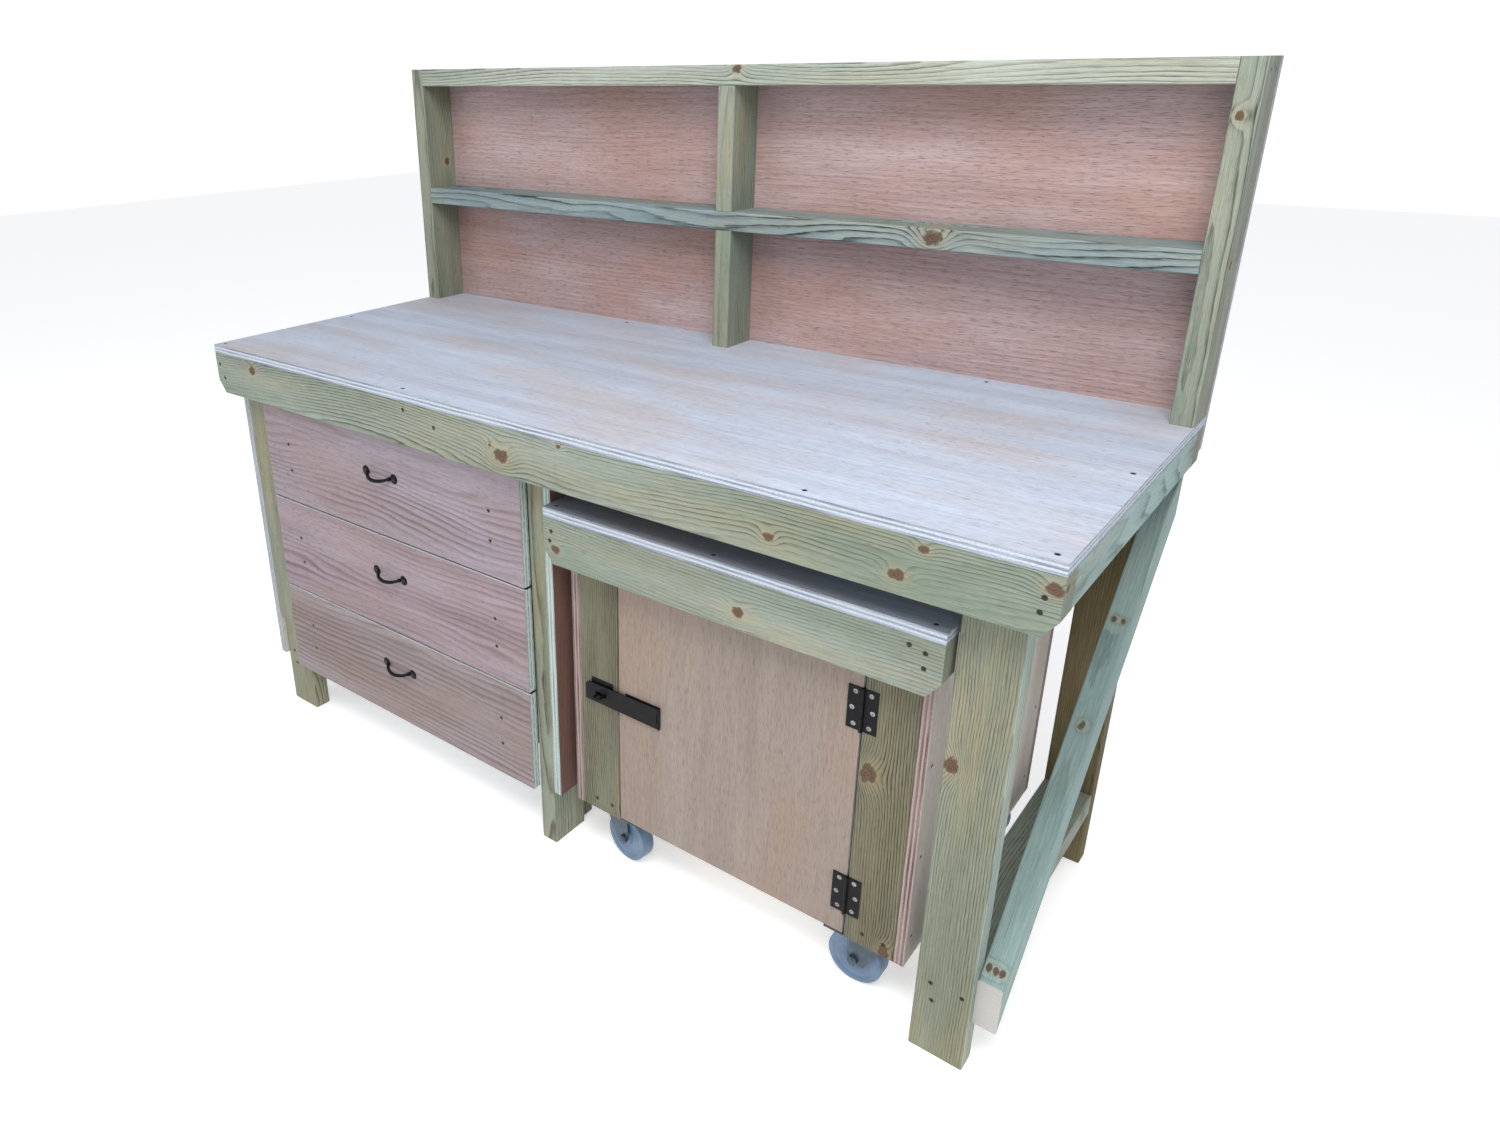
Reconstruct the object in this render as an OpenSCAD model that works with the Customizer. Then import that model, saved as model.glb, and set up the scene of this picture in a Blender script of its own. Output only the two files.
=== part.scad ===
// Potting bench: a timber bench with a tall back shelf, three drawers on
// runners in its left half and a castored cupboard trolley that rolls out
// of its right half.
//
// Every part is laid out in bench coordinates: X along the bench from its
// left end, Y back from the front edge of the worktop, Z up from the floor.
// in_place() then moves them so that the origin is on the floor under the
// middle of the bench.

/* [Bench] */
// Length of the worktop
bench_l = 1830; // [1780:10:2000]
// Depth of the worktop
bench_d = 720; // [700:10:800]
// Height of the worktop's upper face
bench_h = 914; // [900:2:940]
// Height of the top of the shelf unit
shelf_top = 1469; // [1400:1:1600]
// Height of the top of the middle shelf
shelf_mid = 1194; // [1150:1:1240]
// How far below the worktop the back board reaches
back_drop = 64; // [40:2:100]
// Left face of the middle legs
middle_x = 896; // [880:2:920]

/* [Boards] */
// Thickness of the plywood
ply_t = 18; // [15:0.5:18]
// Thickness of the studs
stud_t = 38; // [35:1:38]
// Width of the studs
stud_w = 89; // [85:1:89]
// Thickness of the long rails
rail_t = 45; // [42:1:45]
// Height of the long rails
rail_h = 90; // [80:1:90]
// Height of the side rails
side_rail_h = 63; // [50:1:63]
// Rounding of the long edges of the studs and rails
ease_r = 3; // [1:0.5:4]

/* [Legs] */
// Height of the underside of the lower rails
lower_rail_z = 118; // [100:1:140]
// Height of the cut end of the side brace
brace_cut = 89; // [60:1:95]
// Height of the lower end of the side brace
brace_z = 88; // [60:1:100]
// Height of the bottom edge of the left side panel
side_panel_z = 130; // [118:1:160]
// Height of the lower end of the facing strip on the left leg
strip_z = 232; // [180:1:260]
// Height of the bottom edge of the middle panel
partition_z = 126; // [118:1:140]

/* [Drawers] */
// Width of the drawer fronts
drawer_front_w = 780; // [770:1:790]
// Height of a drawer front
drawer_front_h = 221; // [200:1:221]
// Gap between drawer fronts
drawer_gap = 5; // [3:0.5:8]
// Height of the bottom drawer front's lower edge
drawer_z = 126; // [124:1:128]
// Height of the drawer sides
drawer_side_h = 160; // [120:1:170]
// Depth of the drawer boxes
drawer_box_d = 540; // [500:5:560]
// Thickness of the drawer bottoms
drawer_floor_t = 9; // [6:0.5:12]
// Length of the drawer runners
runner_l = 530; // [500:5:540]
// Height of the drawer runners
runner_h = 45; // [35:1:46]
// Thickness of a pair of drawer runners
runner_t = 12.7; // [12:0.1:13]

/* [Handles] */
// Distance between a handle's screws
handle_pitch = 86; // [70:1:110]
// Diameter of the round end plates
handle_plate_d = 22; // [18:1:26]
// Diameter of the bow
handle_bar_d = 8; // [6:0.5:9]
// How far the bow stands out from its end plates
handle_reach = 19; // [15:1:20]
// How far the bow droops
handle_droop = 20; // [0:1:30]

/* [Trolley] */
// Width of the trolley's top
trolley_w = 733; // [720:1:735]
// Width over the trolley's side panels
trolley_body_w = 690; // [670:1:700]
// Front face of the trolley's rail
trolley_y = 22; // [10:1:30]
// Back face of the trolley
trolley_back_y = 645; // [600:1:650]
// Height of the trolley's upper face
trolley_h = 760; // [740:1:780]
// Height of the trolley's underside
trolley_z = 120; // [118:1:125]
// Gap around the door
door_gap = 2.5; // [2:0.1:4]
// Height of the door's lower edge above the trolley's underside
door_lift = 5; // [3:1:10]

/* [Castors] */
// Diameter of the wheels
wheel_d = 100; // [90:1:100]
// Width of the wheels
wheel_w = 30; // [25:1:32]
// Distance from the swivel axis to the wheel's axle
castor_trail = 18; // [12:1:25]
// Distance from the trolley's middle to the swivel axes
castor_x = 265; // [240:1:270]
// Distance from the trolley's front and back faces to the swivel axes
castor_y = 50; // [48:1:60]
// Length of a castor's top plate
castor_plate_l = 130; // [100:1:130]
// Width of a castor's top plate
castor_plate_w = 94; // [80:1:94]
// Diameter of the axles
axle_d = 10; // [8:0.5:12]

/* [Ironmongery] */
// Height of a door hinge
hinge_h = 75; // [60:1:80]
// Width of one hinge leaf
hinge_leaf_w = 25; // [22:1:28]
// Diameter of the hinge barrels
barrel_d = 6; // [5:0.5:8]
// Diameter of the hinge pins
pin_d = 3; // [2.5:0.1:3.5]
// Thickness of the hinge and hasp plates
plate_t = 2; // [1.5:0.1:2.5]
// Length of the hasp's strap
hasp_l = 167; // [140:1:180]
// Diameter of the screw heads
screw_head_d = 8; // [7:0.5:9]
// Diameter of the screw shanks
screw_d = 4; // [3:0.5:4.5]

/* [Hidden] */
$fn = 48;

bench_depth = bench_d + ply_t;
under_top = bench_h - ply_t;
rail_z = under_top - rail_h;
side_rail_z = under_top - side_rail_h;
back_rail_y = bench_d - rail_t;
leg_right_x = bench_l - rail_t - stud_w;
middle_end = middle_x + stud_t;
upright_y = bench_d - stud_w;
shelf_z = shelf_mid - stud_t;
top_rail_z = shelf_top - stud_t;
rail_notch = [22, 28];

strip_t = 8;
strip_gap = 1;
strip_y = rail_t - strip_t;

runner_left_x = rail_t + stud_w;
runner_right_x = middle_x + stud_t - 100;
runner_front_y = rail_t + stud_w;
runner_rear_y = back_rail_y - stud_w - stud_t;

drawer_front_x = middle_x - 1 - drawer_front_w;
drawer_front_y = rail_t - ply_t;
drawer_left = runner_left_x + stud_t + runner_t;
drawer_right = runner_right_x - runner_t;
drawer_mid = (drawer_left + drawer_right) / 2;
drawer_side_lift = 25;
drawer_floor_lift = 37;
glue_gap = 0.2;
runner_lift = 105;
runner_y = rail_t + 5;
runner_wall = 1.5;
channel_depth = 9.5;
handle_z = 135;

trolley_x = middle_end + ply_t + 3;
trolley_mid = trolley_x + trolley_w / 2;
trolley_right = trolley_x + trolley_w;
trolley_under_top = trolley_h - ply_t;
body_x = trolley_mid - trolley_body_w / 2;
body_right = trolley_mid + trolley_body_w / 2;
body_y = trolley_y + rail_t;
body_back = trolley_back_y - ply_t;
post_x = body_x + ply_t;
post_right = body_right - ply_t;
door_x = post_x + stud_w + door_gap;
door_right = post_right - stud_w - door_gap;
door_z = trolley_z + door_lift;
door_top = trolley_under_top - rail_h - 4;

axis_gap = 0.5;
hinge_x = door_right + door_gap / 2;
hinge_y = body_y - barrel_d / 2 - axis_gap;
hinge_heights = [171, 527];
hinge_screw_r = [3.4, 1.8];
knuckle_gap = 0.4;
pin_gap = 0.05;
hasp_x = door_x + 92;
hasp_z = 391;
hasp_barrel_h = 43;
hasp_strap_h = [42, 38];
staple_x = door_x - 39;
staple_w = 18;
staple_bar = 5;
staple_reach = 14;
staple_plate = [50, 42];
slot_size = [26, 8];

wheel_r = wheel_d / 2;
castor_plate_t = 3;
fork_t = 2.5;
fork_in = wheel_w / 2 + 2.5;
fork_out = fork_in + fork_t;
web_z = 104.5;
race_gap = 0.5;
kingpin_d = 12;
castor_left = trolley_mid - castor_x;
castor_right = trolley_mid + castor_x;
castor_front = body_y + castor_y;
castor_rear = trolley_back_y - castor_y;
castor_bolts = [52, 26];
floor_gap = 1.5;
bolt_head_h = 4;

screw_sink = 0.6;
screw_head_h = 2.4;
screw_gap = 0.15;
long_screw = 45;
short_screw = 28;

pine = [0.62, 0.67, 0.6];
birch = [0.69, 0.58, 0.53];
bleached = [0.74, 0.76, 0.84];
black_iron = [0.07, 0.07, 0.08];
zinc = [0.62, 0.64, 0.66];
castor_steel = [0.2, 0.25, 0.3];
nylon = [0.5, 0.62, 0.76];

// ---------------------------------------------------------------- helpers

module in_place() {
    translate([-bench_l / 2, -bench_depth / 2, 0]) children();
}

// A square-edged board between two opposite corners
module board(low, high) {
    translate(low) cube(high - low);
}

// A stud lying along X with its four long edges rounded
module eased_along_x(low, high) {
    size = high - low;
    translate(low)
        rotate([90, 0, 90])
            linear_extrude(size[0])
                eased_rectangle(size[1], size[2]);
}

// A stud lying along Y with its four long edges rounded
module eased_along_y(low, high) {
    size = high - low;
    translate([low[0], high[1], low[2]])
        rotate([90, 0, 0])
            linear_extrude(size[1])
                eased_rectangle(size[0], size[2]);
}

// A stud standing along Z with its four long edges rounded
module eased_along_z(low, high) {
    size = high - low;
    translate(low)
        linear_extrude(size[2])
            eased_rectangle(size[0], size[1]);
}

module eased_rectangle(w, h) {
    translate([ease_r, 0]) square([w - 2 * ease_r, h]);
    translate([0, ease_r]) square([w, h - 2 * ease_r]);
    for (x = [ease_r, w - ease_r], y = [ease_r, h - ease_r]) {
        translate([x, y]) circle(r = ease_r);
    }
}

// A long rail with its two lower corners cut back at the ends
module notched_rail(x0, x1, y, z) {
    intersection() {
        eased_along_x([x0, y, z], [x1, y + rail_t, z + rail_h]);
        translate([x0, y + rail_t + 1, z])
            rotate([90, 0, 0])
                linear_extrude(rail_t + 2)
                    polygon([
                        [0, rail_notch[1]], [rail_notch[0], 0],
                        [x1 - x0 - rail_notch[0], 0], [x1 - x0, rail_notch[1]],
                        [x1 - x0, rail_h], [0, rail_h]
                    ]);
    }
}

// Turns the +Z direction to the outward side of a face
module facing(side) {
    turn = side == "front" ? [90, 0, 0]
        : side == "back" ? [-90, 0, 0]
        : side == "right" ? [0, 90, 0]
        : side == "left" ? [0, -90, 0]
        : side == "under" ? [180, 0, 0]
        : [0, 0, 0];
    rotate(turn) children();
}

// A screw with its head just below the face, its shank running inwards
module screw(length) {
    seat = screw_sink + screw_head_h;
    difference() {
        translate([0, 0, -seat]) cylinder(d = screw_head_d, h = screw_head_h);
        for (turn = [0, 90]) {
            rotate(turn + 20) translate([-2.4, -0.5, -screw_sink - 1.2]) cube([4.8, 1, 2]);
        }
    }
    translate([0, 0, -seat - length]) cylinder(d = screw_d, h = length + 0.5);
}

module screw_hole(length) {
    seat = screw_sink + screw_head_h;
    translate([0, 0, -seat]) cylinder(d = screw_head_d + 2 * screw_gap, h = seat + 1);
    translate([0, 0, -seat - length - 1]) cylinder(d = screw_d + 2 * screw_gap, h = length + 2);
}

module screws(places, side, length) {
    for (place = places) translate(place) facing(side) screw(length);
}

module screw_holes(places, side, length) {
    for (place = places) translate(place) facing(side) screw_hole(length);
}

// ------------------------------------------------------ places of screws

worktop_screws = concat(
    [for (x = [15, bench_l / 3, bench_l * 0.8, bench_l - 20]) [x, 19, bench_h]],
    [for (x = [22, bench_l - 22]) [x, bench_d / 2, bench_h]],
    [for (x = [bench_l / 3, bench_l * 0.8]) [x, bench_d - 20, bench_h]]
);
rail_screws = concat(
    [[12, 0, under_top - 25], [bench_l - 22, 0, under_top - 34]],
    [for (x = [25, bench_l - 25]) [x, 0, under_top - 55]],
    [[627, 0, under_top - 16], [710, 0, under_top - 35]]
);
leg_screws = [
    for (x = [rail_t, leg_right_x], place = [[24, 141], [74, 141], [29, 108]])
        [x + place[0], rail_t, place[1]]
];
back_screws = [
    for (z = [top_rail_z + 19, shelf_z + 19, under_top - 23], x = [0.01, 0.17, 0.34, 0.5, 0.66, 0.83, 0.99])
        [x * bench_l, bench_depth, z]
];
end_screws = [for (z = [top_rail_z + 19, shelf_z + 19], y = [25, 64]) [bench_l, upright_y + y, z]];
end_screws_left = [for (place = end_screws) [0, place[1], place[2]]];
trolley_top_screws = [for (x = [18, 347, trolley_w - 23]) [trolley_x + x, trolley_y + 17, trolley_h]];
trolley_rail_screws = [
    for (place = [[18, 25], [14, 44], [trolley_w - 51, 16], [trolley_w - 27, 22], [trolley_w - 27, 46]])
        [trolley_x + place[0], trolley_y, trolley_under_top - place[1]]
];
post_screws = [
    for (x = [33, 70], post = [post_x, post_right - stud_w]) [post + x, body_y, trolley_z + 24]
];
side_panel_screws = [
    for (y = [body_y + 19, body_back - 19], z = [170, 330, 500, 680])
        [body_right, y, z]
];
castor_places = [
    for (x = [castor_left, castor_right], y = [castor_front, castor_rear]) [x, y, 0]
];
castor_bolt_places = [
    for (place = castor_places, x = [-1, 1], y = [-1, 1])
        [place[0] + x * castor_bolts[0], place[1] + y * castor_bolts[1], trolley_z]
];

// ------------------------------------------------------------- the bench

module worktop() {
    color(bleached) in_place() difference() {
        board([0, 0, under_top], [bench_l, bench_d, bench_h]);
        screw_holes(worktop_screws, "top", long_screw);
    }
}

module front_rail() {
    color(pine) in_place() difference() {
        notched_rail(0, bench_l, 0, rail_z);
        screw_holes(worktop_screws, "top", long_screw);
        screw_holes(rail_screws, "front", long_screw);
    }
}

module back_rail() {
    color(pine) in_place() difference() {
        notched_rail(0, bench_l, back_rail_y, rail_z);
        screw_holes(worktop_screws, "top", long_screw);
        screw_holes(back_screws, "back", long_screw);
    }
}

module cross_rails() {
    color(pine) in_place() difference() {
        union() {
            for (x = [0, bench_l - rail_t]) {
                eased_along_y([x, rail_t, side_rail_z], [x + rail_t, back_rail_y, under_top]);
            }
            eased_along_y(
                [middle_x, runner_front_y + stud_t, side_rail_z],
                [middle_end, runner_rear_y, under_top]
            );
        }
        screw_holes(worktop_screws, "top", long_screw);
        screw_holes(rail_screws, "front", long_screw);
    }
}

// A corner leg, its wide face to the front or the back
module corner_leg(x, y) {
    color(pine) in_place() difference() {
        eased_along_z([x, y, 0], [x + stud_w, y + stud_t, under_top]);
        screw_holes(leg_screws, "front", long_screw);
    }
}

// A middle leg, its narrow face to the front or the back
module middle_leg(y) {
    color(pine) in_place()
        eased_along_z([middle_x, y, 0], [middle_end, y + stud_w, under_top]);
}

// Thin strip that closes the gap between the side panel and the drawer
// fronts, its lower outer corner cut off
module facing_strip() {
    w = drawer_front_x - strip_gap - rail_t;
    color(pine) in_place()
        translate([rail_t, rail_t - glue_gap, strip_z])
            rotate([90, 0, 0])
                linear_extrude(strip_t - glue_gap)
                    polygon([
                        [0, 14], [14, 0], [w, 0], [w, rail_z - strip_z], [0, rail_z - strip_z]
                    ]);
}

module leg_front_left() {
    corner_leg(rail_t, rail_t);
    facing_strip();
}
module leg_front_middle() { middle_leg(rail_t); }
module leg_front_right() { corner_leg(leg_right_x, rail_t); }
module leg_rear_left() { corner_leg(rail_t, back_rail_y - stud_t); }
module leg_rear_middle() { middle_leg(back_rail_y - stud_w); }
module leg_rear_right() { corner_leg(leg_right_x, back_rail_y - stud_t); }

// Posts that carry the drawer runners, two on each side of the drawers.
// The left ones hang from the legs, clear of the floor.
module runner_posts() {
    color(pine) in_place() {
        for (y = [rail_t + stud_t, back_rail_y - stud_t - stud_w]) {
            eased_along_z(
                [runner_left_x, y, side_panel_z],
                [runner_left_x + stud_t, y + stud_w, under_top]
            );
        }
        for (y = [runner_front_y, runner_rear_y]) {
            eased_along_z([runner_right_x, y, 0], [runner_right_x + stud_w, y + stud_t, under_top]);
        }
    }
}

// Rails laid flat between the front and rear posts
module lower_rails() {
    top = lower_rail_z + rail_t;
    color(pine) in_place() difference() {
        union() {
            for (x = [rail_t, leg_right_x]) {
                eased_along_y(
                    [x, rail_t + stud_t, lower_rail_z],
                    [x + stud_w, back_rail_y - stud_t, top]
                );
            }
            eased_along_y(
                [runner_right_x, runner_front_y + stud_t, lower_rail_z],
                [runner_right_x + stud_w, runner_rear_y, top]
            );
        }
        screw_holes(leg_screws, "front", long_screw);
    }
}

// Diagonal brace on the outside of the right-hand legs
module side_brace() {
    y0 = 62;
    y1 = back_rail_y - 4;
    top = side_rail_z - 2;
    rise = top - brace_cut - brace_z;
    slope = atan2(rise, y1 - y0);
    width = brace_cut * cos(slope);
    reach = norm([rise, y1 - y0]) + brace_cut;
    color(pine) in_place() translate([bench_l - rail_t, 0, 0]) intersection() {
        translate([0, y0, brace_z])
            rotate([slope, 0, 0])
                eased_along_y([0, -brace_cut, 0], [stud_t, reach, width]);
        translate([-1, 0, 0])
            rotate([90, 0, 90])
                linear_extrude(stud_t + 2)
                    polygon([
                        [y0, brace_z - 1], [y1, top - brace_cut - 1],
                        [y1, top + 1], [y0, brace_z + brace_cut + 1]
                    ]);
    }
}

// Its front edge stands level with the facing strip and stops under the front rail
module side_panel() {
    color(birch) in_place()
        translate([rail_t - ply_t, 0, 0])
            rotate([90, 0, 90])
                linear_extrude(ply_t)
                    polygon([
                        [strip_y, side_panel_z], [back_rail_y, side_panel_z],
                        [back_rail_y, side_rail_z], [rail_t, side_rail_z],
                        [rail_t, rail_z], [strip_y, rail_z]
                    ]);
}

module partition_panel() {
    color(birch) in_place()
        board([middle_end, rail_t, partition_z], [middle_end + ply_t, back_rail_y, under_top]);
}

module back_panel() {
    color(birch) in_place() difference() {
        board([0, bench_d, bench_h - back_drop], [bench_l, bench_depth, shelf_top]);
        screw_holes(back_screws, "back", long_screw);
    }
}

module upright(x, z0, z1) {
    color(pine) in_place() difference() {
        eased_along_z([x, upright_y, z0], [x + stud_t, bench_d, z1]);
        screw_holes(back_screws, "back", long_screw);
        screw_holes(end_screws, "right", long_screw);
        screw_holes(end_screws_left, "left", long_screw);
    }
}

module upright_left() { upright(0, bench_h, shelf_top); }
module upright_right() { upright(bench_l - stud_t, bench_h, shelf_top); }
module upright_middle() {
    upright(middle_x, bench_h, shelf_z);
    upright(middle_x, shelf_mid, top_rail_z);
}

// A rail of the shelf unit, between the end uprights
module shelf_member(z) {
    color(pine) in_place() difference() {
        eased_along_x([stud_t, upright_y, z], [bench_l - stud_t, bench_d, z + stud_t]);
        screw_holes(back_screws, "back", long_screw);
        screw_holes(end_screws, "right", long_screw);
        screw_holes(end_screws_left, "left", long_screw);
    }
}

module shelf_rail() { shelf_member(shelf_z); }
module top_rail() { shelf_member(top_rail_z); }

module bench_screws() {
    color(zinc) in_place() {
        screws(worktop_screws, "top", long_screw);
        screws(rail_screws, "front", long_screw - 10);
        screws(leg_screws, "front", long_screw);
        screws(back_screws, "back", short_screw);
        screws(end_screws, "right", long_screw);
        screws(end_screws_left, "left", long_screw);
    }
}

// ----------------------------------------------------------- the drawers

function drawer_base(level) = drawer_z + level * (drawer_front_h + drawer_gap);

function drawer_screw_places(level) = [
    for (x = [drawer_left + ply_t / 2, drawer_right - ply_t / 2], z = [74, 135])
        [x, drawer_front_y, drawer_base(level) + z]
];

// A channel along Y, its web at x = 0 and its flanges towards +X
module channel(height, depth) {
    difference() {
        translate([0, 0, -height / 2]) cube([depth, runner_l, height]);
        translate([runner_wall, -1, runner_wall - height / 2])
            cube([depth, runner_l + 2, height - 2 * runner_wall]);
    }
}

// The outer runner members, fixed to the runner posts
module drawer_channels() {
    color(zinc) in_place() for (level = [0:2]) {
        z = drawer_base(level) + runner_lift;
        translate([runner_left_x + stud_t, runner_y, z]) channel(runner_h, channel_depth);
        translate([runner_right_x, runner_y, z]) mirror([1, 0, 0]) channel(runner_h, channel_depth);
    }
}

// The inner runner members, fixed to a drawer's sides
module drawer_runners(level) {
    z = drawer_base(level) + runner_lift;
    inner_h = runner_h - 2 * runner_wall - 2;
    color(zinc) in_place() {
        translate([drawer_left, runner_y, z]) mirror([1, 0, 0]) channel(inner_h, channel_depth);
        translate([drawer_right, runner_y, z]) channel(inner_h, channel_depth);
    }
}

module drawer_front(level) {
    z = drawer_base(level);
    color(birch) in_place() difference() {
        board(
            [drawer_front_x, drawer_front_y, z],
            [drawer_front_x + drawer_front_w, rail_t, z + drawer_front_h]
        );
        screw_holes(drawer_screw_places(level), "front", short_screw);
        handle_screws(level) screw_hole(10);
    }
}

// Two sides, a back and a bottom, each a board of its own
module drawer_box(level) {
    z = drawer_base(level);
    side_z = z + drawer_side_lift;
    back_y = rail_t + drawer_box_d;
    in_left = drawer_left + ply_t + glue_gap;
    in_right = drawer_right - ply_t - glue_gap;
    color(birch) in_place() difference() {
        union() {
            for (x = [drawer_left, drawer_right - ply_t]) {
                board([x, rail_t, side_z], [x + ply_t, back_y, side_z + drawer_side_h]);
            }
            board([in_left, back_y - ply_t, side_z], [in_right, back_y, side_z + drawer_side_h]);
            board(
                [in_left, rail_t, z + drawer_floor_lift],
                [in_right, back_y - ply_t - glue_gap, z + drawer_floor_lift + drawer_floor_t]
            );
        }
        screw_holes(drawer_screw_places(level), "front", short_screw);
    }
}

module handle_screws(level) {
    for (side = [-1, 1]) {
        translate([
            drawer_mid + side * handle_pitch / 2,
            drawer_front_y - 3.5,
            drawer_base(level) + handle_z
        ])
            facing("front") children();
    }
}

module drawer_screws(level) {
    color(zinc) in_place() {
        screws(drawer_screw_places(level), "front", short_screw);
        handle_screws(level) screw(10);
    }
}

// A bow handle: two round end plates and a bar that bulges out and droops
module drawer_handle(level) {
    half = handle_pitch / 2 - 8;
    bow_r = (half * half + handle_reach * handle_reach) / (2 * handle_reach);
    bow_angle = asin(half / bow_r);
    color(black_iron) in_place()
        translate([drawer_mid, drawer_front_y, drawer_base(level) + handle_z])
            difference() {
                union() {
                    for (side = [-1, 1]) {
                        translate([side * handle_pitch / 2, 0, 0])
                            rotate([90, 0, 0]) cylinder(d = handle_plate_d, h = 3.5);
                        translate([side * half, -3.5, 0]) sphere(d = handle_bar_d + 1);
                    }
                    translate([0, -3.5, 0])
                        rotate([handle_droop, 0, 0])
                            translate([0, bow_r - handle_reach, 0])
                                rotate([0, 0, -90 - bow_angle])
                                    rotate_extrude(angle = 2 * bow_angle)
                                        translate([bow_r, 0]) circle(d = handle_bar_d);
                }
                translate([-handle_pitch, 0, -handle_pitch])
                    cube([2 * handle_pitch, handle_pitch, 2 * handle_pitch]);
                for (side = [-1, 1]) {
                    translate([side * handle_pitch / 2, -3.5, 0]) facing("front") screw_hole(10);
                }
            }
}

module drawer_bottom_front() { drawer_front(0); }
module drawer_bottom_box() { drawer_box(0); }
module drawer_bottom_handle() { drawer_handle(0); }
module drawer_bottom_runners() { drawer_runners(0); }
module drawer_bottom_screws() { drawer_screws(0); }
module drawer_middle_front() { drawer_front(1); }
module drawer_middle_box() { drawer_box(1); }
module drawer_middle_handle() { drawer_handle(1); }
module drawer_middle_runners() { drawer_runners(1); }
module drawer_middle_screws() { drawer_screws(1); }
module drawer_top_front() { drawer_front(2); }
module drawer_top_box() { drawer_box(2); }
module drawer_top_handle() { drawer_handle(2); }
module drawer_top_runners() { drawer_runners(2); }
module drawer_top_screws() { drawer_screws(2); }

// ----------------------------------------------------------- the trolley

module trolley_top() {
    color(bleached) in_place() difference() {
        board([trolley_x, trolley_y, trolley_under_top], [trolley_right, trolley_back_y, trolley_h]);
        screw_holes(trolley_top_screws, "top", long_screw);
    }
}

module trolley_front_rail() {
    color(pine) in_place() difference() {
        notched_rail(trolley_x, trolley_right, trolley_y, trolley_under_top - rail_h);
        screw_holes(trolley_top_screws, "top", long_screw);
        screw_holes(trolley_rail_screws, "front", short_screw);
    }
}

// Four corner posts with their wide faces to the front and the back
module trolley_posts() {
    color(pine) in_place() difference() {
        for (x = [post_x, post_right - stud_w], y = [body_y, body_back - stud_t]) {
            eased_along_z([x, y, trolley_z], [x + stud_w, y + stud_t, trolley_under_top]);
        }
        screw_holes(post_screws, "front", short_screw);
        screw_holes(side_panel_screws, "right", short_screw);
        screw_holes(castor_bolt_places, "under", short_screw);
        for (z = hinge_heights) translate([hinge_x, body_y, z]) leaf_screws(1) screw_hole(14);
        translate([staple_x, body_y, hasp_z + 7]) staple_screws() screw_hole(14);
    }
}

module trolley_side_panels() {
    color(birch) in_place() difference() {
        for (x = [body_x, post_right]) {
            board([x, body_y, trolley_z], [x + ply_t, body_back, trolley_under_top]);
        }
        screw_holes(side_panel_screws, "right", short_screw);
    }
}

module trolley_back_panel() {
    color(birch) in_place()
        board([body_x, body_back, trolley_z], [body_right, trolley_back_y, trolley_under_top]);
}

// Cut out round the four posts
module trolley_floor() {
    top = trolley_z + ply_t;
    color(birch) in_place() difference() {
        union() {
            board([post_x, body_y + stud_t, trolley_z], [post_right, body_back - stud_t, top]);
            board(
                [post_x + stud_w, body_y + ply_t + floor_gap, trolley_z],
                [post_right - stud_w, body_back, top]
            );
        }
        screw_holes(castor_bolt_places, "under", short_screw);
    }
}

module trolley_door() {
    color(birch) in_place() difference() {
        board([door_x, body_y, door_z], [door_right, body_y + ply_t, door_top]);
        for (z = hinge_heights) translate([hinge_x, body_y, z]) leaf_screws(-1) screw_hole(10);
    }
}

// Places a child at the three screws of the hinge leaf on one side of the pin
module leaf_screws(side) {
    for (place = [[13, 66], [17, 37], [13, 9]]) {
        translate([side * place[0], -plate_t, place[1] * hinge_h / 75]) facing("front") children();
    }
}

// A barrel with a bore for the pin, standing on z0
module knuckle(z0, height) {
    translate([0, 0, z0]) difference() {
        cylinder(d = barrel_d, h = height);
        translate([0, 0, -1]) cylinder(d = pin_d + 2 * pin_gap, h = height + 2);
    }
}

// A leaf on one side of the pin: its own knuckles and notches for the other leaf's
module hinge_leaf(side, own, others, height, width) {
    face = barrel_d / 2 + axis_gap;
    clear = barrel_d / 2 + knuckle_gap;
    plate_low = side > 0 ? 0 : -width;
    difference() {
        union() {
            translate([plate_low, face - plate_t, 0]) cube([width, plate_t, height]);
            for (span = own) translate([0, 0, span[0]]) cylinder(d = barrel_d, h = span[1] - span[0]);
        }
        for (span = others) {
            translate([-clear, -clear, span[0] - knuckle_gap])
                cube([2 * clear, 2 * clear, span[1] - span[0] + 2 * knuckle_gap]);
        }
        for (span = own) {
            if (side > 0) {
                translate([-clear - 1, barrel_d / 2, span[0] - 1])
                    cube([clear + 1 + knuckle_gap, 2, span[1]]);
            } else {
                translate([-knuckle_gap, barrel_d / 2, span[0] - 1]) cube([clear + 1, 2, span[1]]);
            }
        }
        translate([0, 0, -1]) cylinder(d = pin_d + 2 * pin_gap, h = height + 2);
    }
}

// Spans of the knuckles along a hinge of some height: two outer and one inner
function outer_knuckles(height) = [[0, height / 3], [height * 2 / 3, height]];
function inner_knuckles(height) = [[height / 3, height * 2 / 3]];

module hinge_pin(height) {
    cylinder(d = pin_d, h = height);
    for (z = [-1.5, height + 0.1]) translate([0, 0, z]) cylinder(d = barrel_d - 1, h = 1.4);
}

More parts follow.
